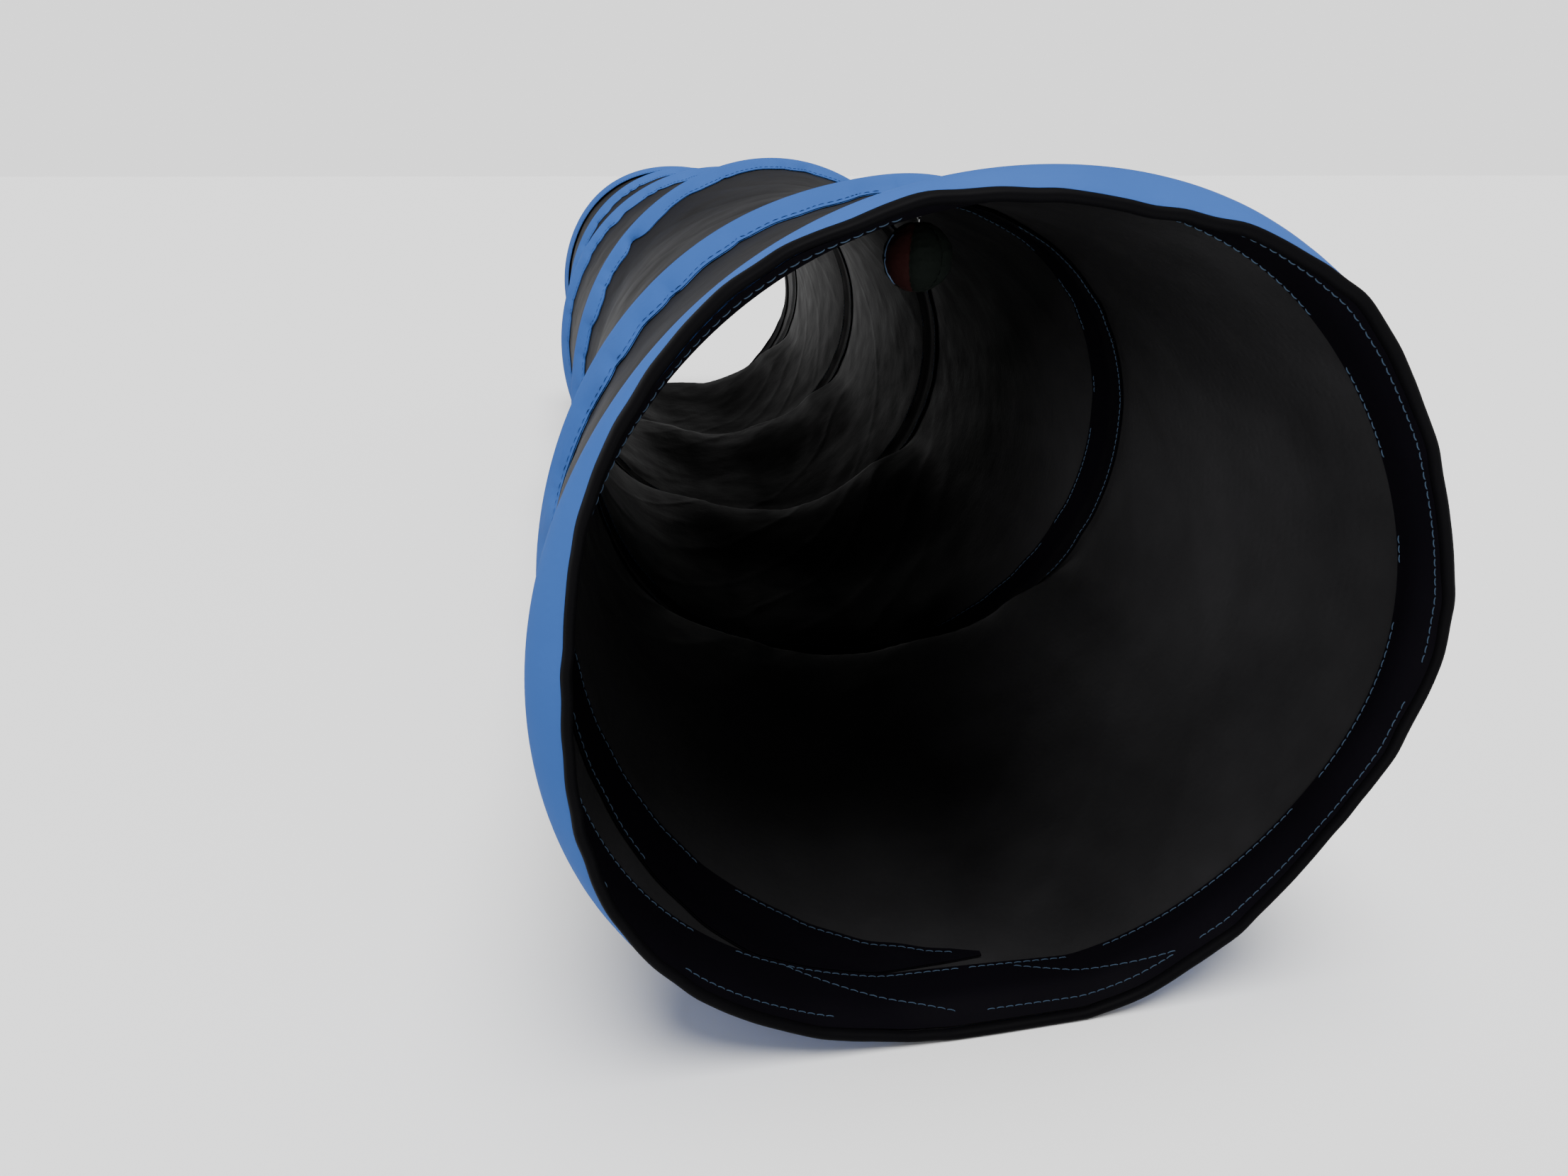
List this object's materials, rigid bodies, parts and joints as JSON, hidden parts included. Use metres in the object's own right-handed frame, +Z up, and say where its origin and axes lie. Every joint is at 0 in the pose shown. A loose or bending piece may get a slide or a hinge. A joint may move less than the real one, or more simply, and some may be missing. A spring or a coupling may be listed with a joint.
{
  "type": "agility tunnel",
  "caption": "Collapsible pop-up agility tunnel for small pets: black fabric tube on a coiled spring wire in blue sleeves, open at both ends, with a hanging ball.",
  "frame": {"origin": "on the ground, under the middle of the tunnel", "axes": "+Y runs along the tunnel from its mouth to its far end, +Z is up, +X is to the right seen from the mouth"},
  "size_m": [0.2558, 1, 0.252],
  "materials": {
    "spring_wire": "drawn spring steel",
    "ferrule": "crimped tube",
    "black_skin": "thin woven taffeta with a slight sheen",
    "blue_sleeve": "plain woven polyester",
    "black_lip": "folded binding",
    "seam_tape": "woven binding tape with blue thread",
    "toy_tape": "narrow woven tape",
    "toy_ring": "bent wire",
    "toy_ball": "dark covered ball with a red patch",
    "strap_webbing": "woven webbing",
    "hook_pad": "hook tape"
  },
  "bodies": {
    "front_end": {"front_hoop_wire": "spring_wire", "front_ferrule": "ferrule", "front_hoop_sleeve": "blue_sleeve", "front_lip_binding": "black_lip", "front_facing": "seam_tape", "front_cuff": "black_skin", "skin_turn_1": "black_skin", "wire_turn_1": "spring_wire", "sleeve_turn_1": "blue_sleeve", "inner_strip_turn_1": "seam_tape"},
    "turn_2": {"skin_turn_2": "black_skin", "wire_turn_2": "spring_wire", "sleeve_turn_2": "blue_sleeve", "inner_strip_turn_2": "seam_tape"},
    "turn_3": {"skin_turn_3": "black_skin", "wire_turn_3": "spring_wire", "sleeve_turn_3": "blue_sleeve", "inner_strip_turn_3": "seam_tape"},
    "turn_4": {"skin_turn_4": "black_skin", "wire_turn_4": "spring_wire", "sleeve_turn_4": "blue_sleeve", "inner_strip_turn_4": "seam_tape"},
    "rear_end": {"rear_hoop_wire": "spring_wire", "rear_ferrule": "ferrule", "rear_hoop_sleeve": "blue_sleeve", "rear_lip_binding": "black_lip", "rear_facing": "seam_tape", "rear_cuff": "black_skin", "closing_strap_1": "strap_webbing", "closing_strap_2": "strap_webbing", "strap_hook_pad_1": "hook_pad", "strap_hook_pad_2": "hook_pad"},
    "toy_mount": {"toy_tab": "toy_tape"},
    "toy_link": {"toy_ring": "toy_ring"},
    "toy_hanging_ball": {"toy_eyelet": "toy_ring", "toy_ball": "toy_ball"}
  },
  "joints": [
    {"name": "collapse_1", "type": "slide", "parent": "front_end", "child": "turn_2", "axis": [0, 1, 0], "range_m": [-0.2306, 0], "stiffness_N_per_m": 60, "springref_m": 0.02, "deforming": ["skin_turn_1", "wire_turn_1", "sleeve_turn_1", "inner_strip_turn_1"]},
    {"name": "collapse_2", "type": "slide", "parent": "turn_2", "child": "turn_3", "axis": [0, 1, 0], "range_m": [-0.2306, 0], "stiffness_N_per_m": 60, "springref_m": 0.02, "deforming": ["skin_turn_2", "wire_turn_2", "sleeve_turn_2", "inner_strip_turn_2"]},
    {"name": "collapse_3", "type": "slide", "parent": "turn_3", "child": "turn_4", "axis": [0, 1, 0], "range_m": [-0.2306, 0], "stiffness_N_per_m": 60, "springref_m": 0.02, "deforming": ["skin_turn_3", "wire_turn_3", "sleeve_turn_3", "inner_strip_turn_3"]},
    {"name": "collapse_4", "type": "slide", "parent": "turn_4", "child": "rear_end", "axis": [0, 1, 0], "range_m": [-0.2306, 0], "stiffness_N_per_m": 60, "springref_m": 0.02, "deforming": ["skin_turn_4", "wire_turn_4", "sleeve_turn_4", "inner_strip_turn_4"]},
    {"name": "toy_carry", "type": "slide", "parent": "front_end", "child": "toy_mount", "axis": [0, 1, 0], "range_m": [-0.11851, 0]},
    {"name": "toy_swing", "type": "hinge", "parent": "toy_mount", "child": "toy_link", "pos_m": [0.01055, -0.36053, 0.24149], "axis": [1, 0, 0], "range_deg": [-40, 40]},
    {"name": "toy_sway", "type": "hinge", "parent": "toy_link", "child": "toy_hanging_ball", "pos_m": [0.01055, -0.36053, 0.23889], "axis": [0, 1, 0], "range_deg": [-20, 20]}
  ],
  "couplings": [
    {"joint": "collapse_2", "follows": "collapse_1", "ratio": 1},
    {"joint": "collapse_3", "follows": "collapse_1", "ratio": 1},
    {"joint": "collapse_4", "follows": "collapse_1", "ratio": 1},
    {"joint": "toy_carry", "follows": "collapse_1", "ratio": 0.5139}
  ]
}
